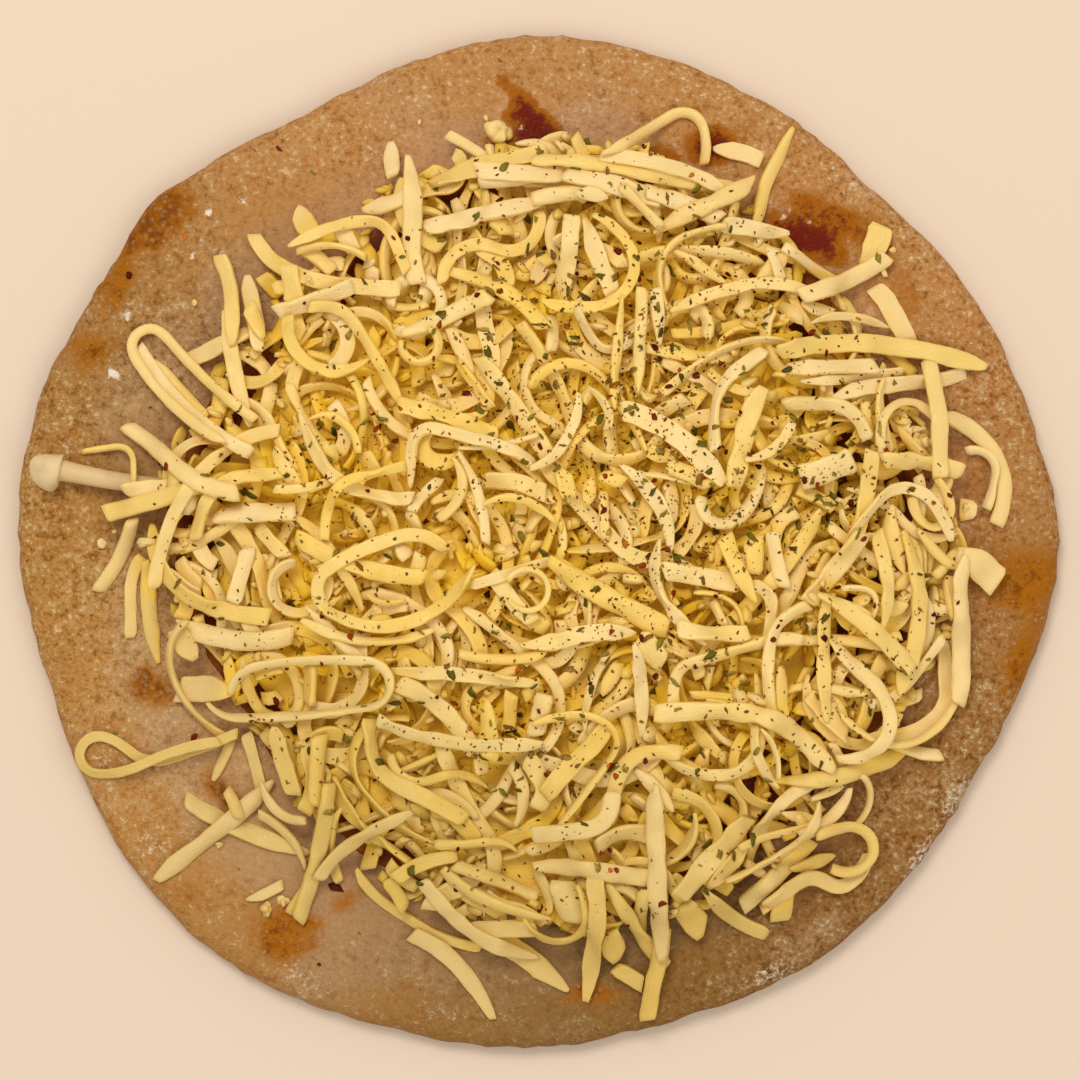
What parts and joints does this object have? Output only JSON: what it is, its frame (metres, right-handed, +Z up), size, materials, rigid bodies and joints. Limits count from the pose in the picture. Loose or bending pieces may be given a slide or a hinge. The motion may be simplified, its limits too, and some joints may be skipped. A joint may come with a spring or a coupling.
{
  "type": "cheese pizza",
  "caption": "Round par-baked pizza base with a rustic edge, tomato sauce, a loose heap of grated cheese with dried herbs, and an enoki mushroom at the edge.",
  "frame": {"origin": "on the flat underside of the base, below the middle of the box around the pizza", "axes": "+X to the right and +Y to the top of the picture, which looks straight down; +Z up, out of the cheese"},
  "size_m": [0.26, 0.2524, 0.0283],
  "materials": {
    "crust": "matte",
    "sauce": "satin",
    "cheese": "satin",
    "mushroom": "satin"
  },
  "bodies": {
    "root": {"pizza_base": "crust", "tomato_sauce": "sauce", "cheese_heap": "cheese", "enoki_mushroom": "mushroom"}
  },
  "joints": []
}
